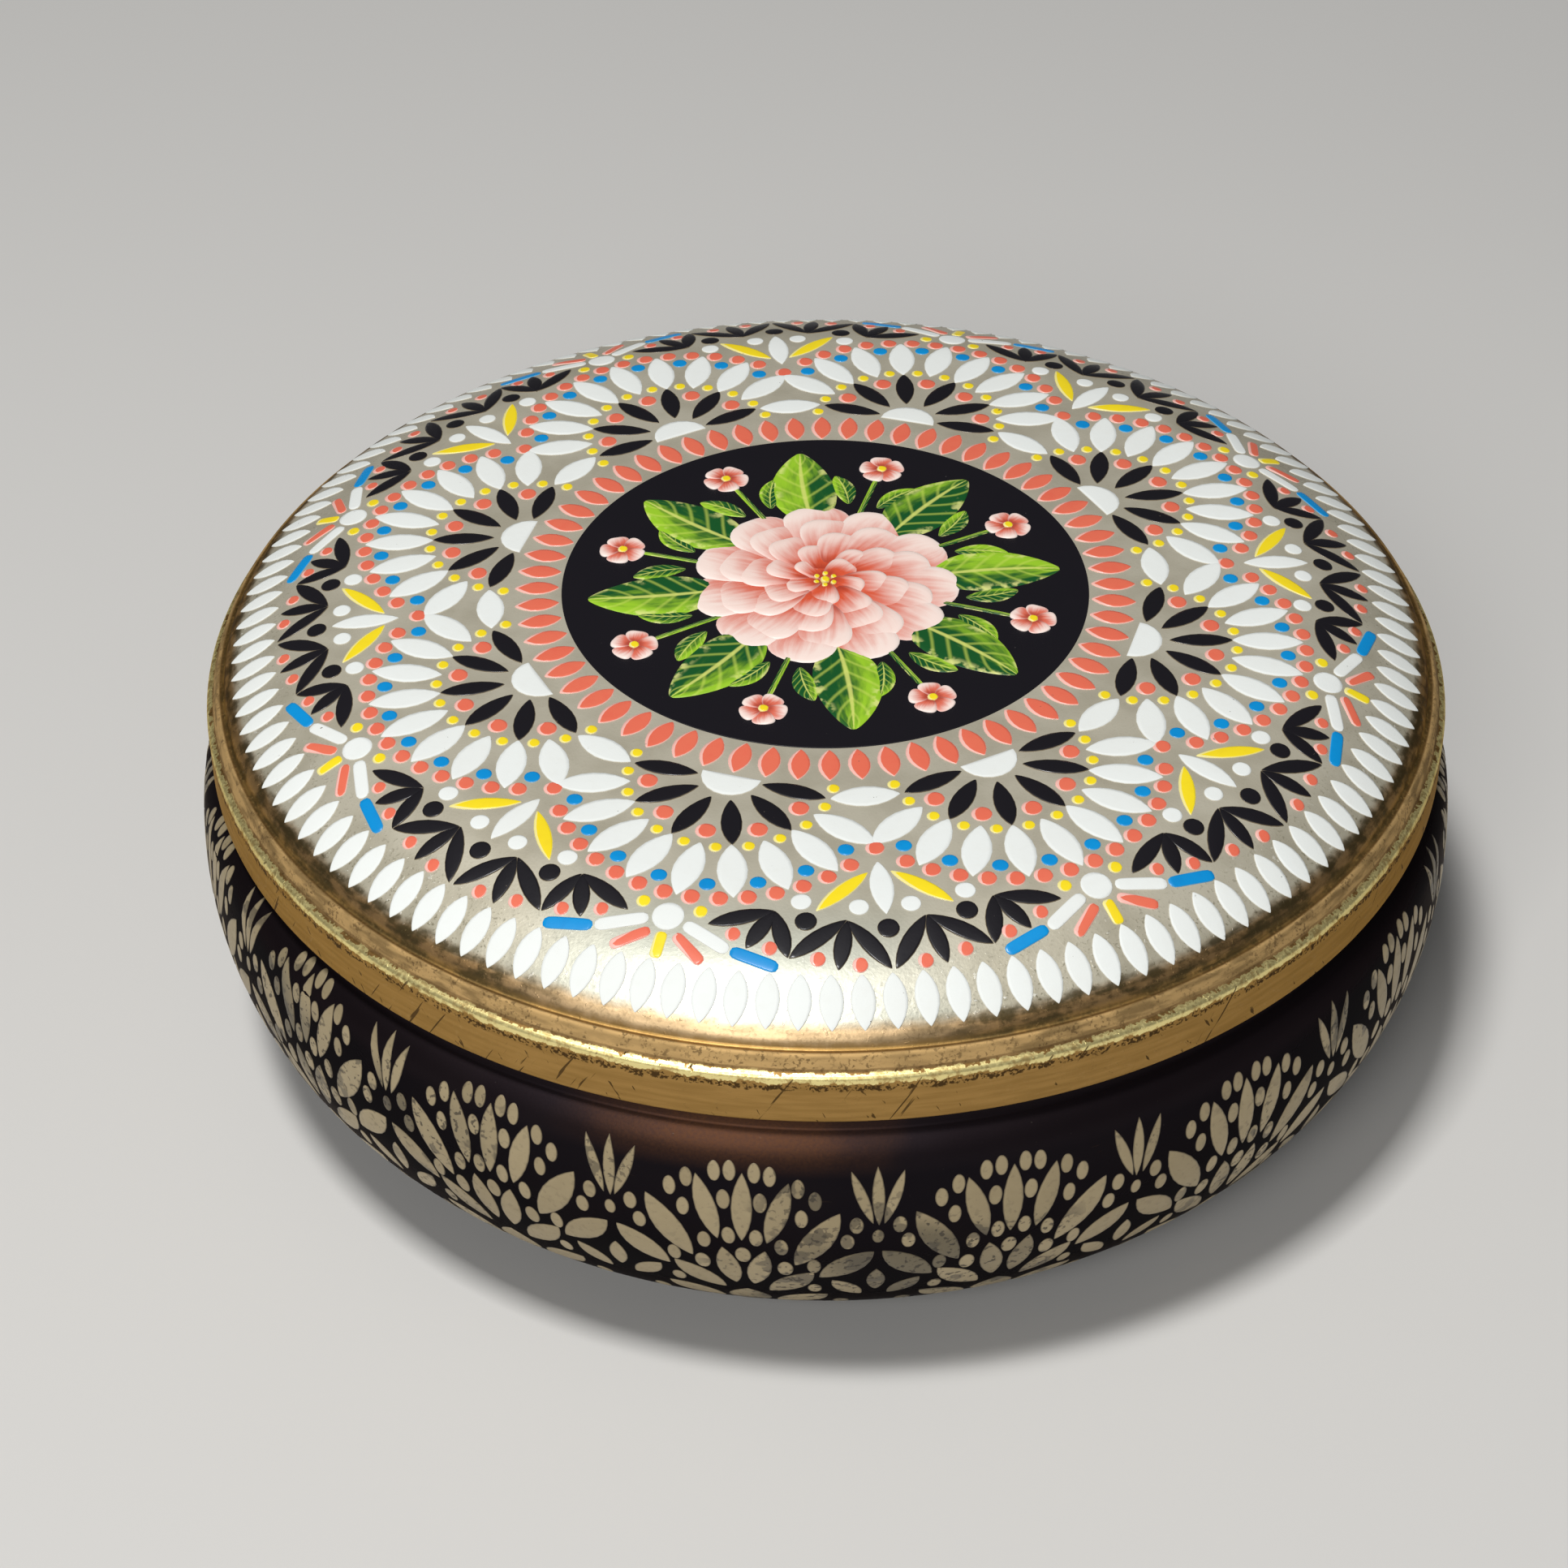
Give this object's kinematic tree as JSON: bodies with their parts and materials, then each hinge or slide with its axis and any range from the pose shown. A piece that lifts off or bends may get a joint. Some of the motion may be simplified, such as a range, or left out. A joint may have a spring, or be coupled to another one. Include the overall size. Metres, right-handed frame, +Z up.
{
  "type": "decorative tin",
  "caption": "Round bulged sheet-metal tin with a domed slip lid that lifts off its neck, for biscuits, sweets or sewing things.",
  "frame": {"origin": "middle of the flat ring that the tin rests on, at floor level", "axes": "+Z up along the tin's axis through the lid's crown, -Y towards the side that the picture shows"},
  "size_m": [0.1952, 0.1952, 0.075],
  "materials": {
    "body_print": "satin black print with champagne petals",
    "lid_print": "glossy gold lacquer with raised enamel colours"
  },
  "bodies": {
    "body": {"body": "body_print"},
    "lid": {"lid": "lid_print"}
  },
  "joints": [
    {"name": "lid_lift", "type": "slide", "parent": "body", "child": "lid", "axis": [0, 0, 1], "range_m": [0, 0.08]}
  ]
}
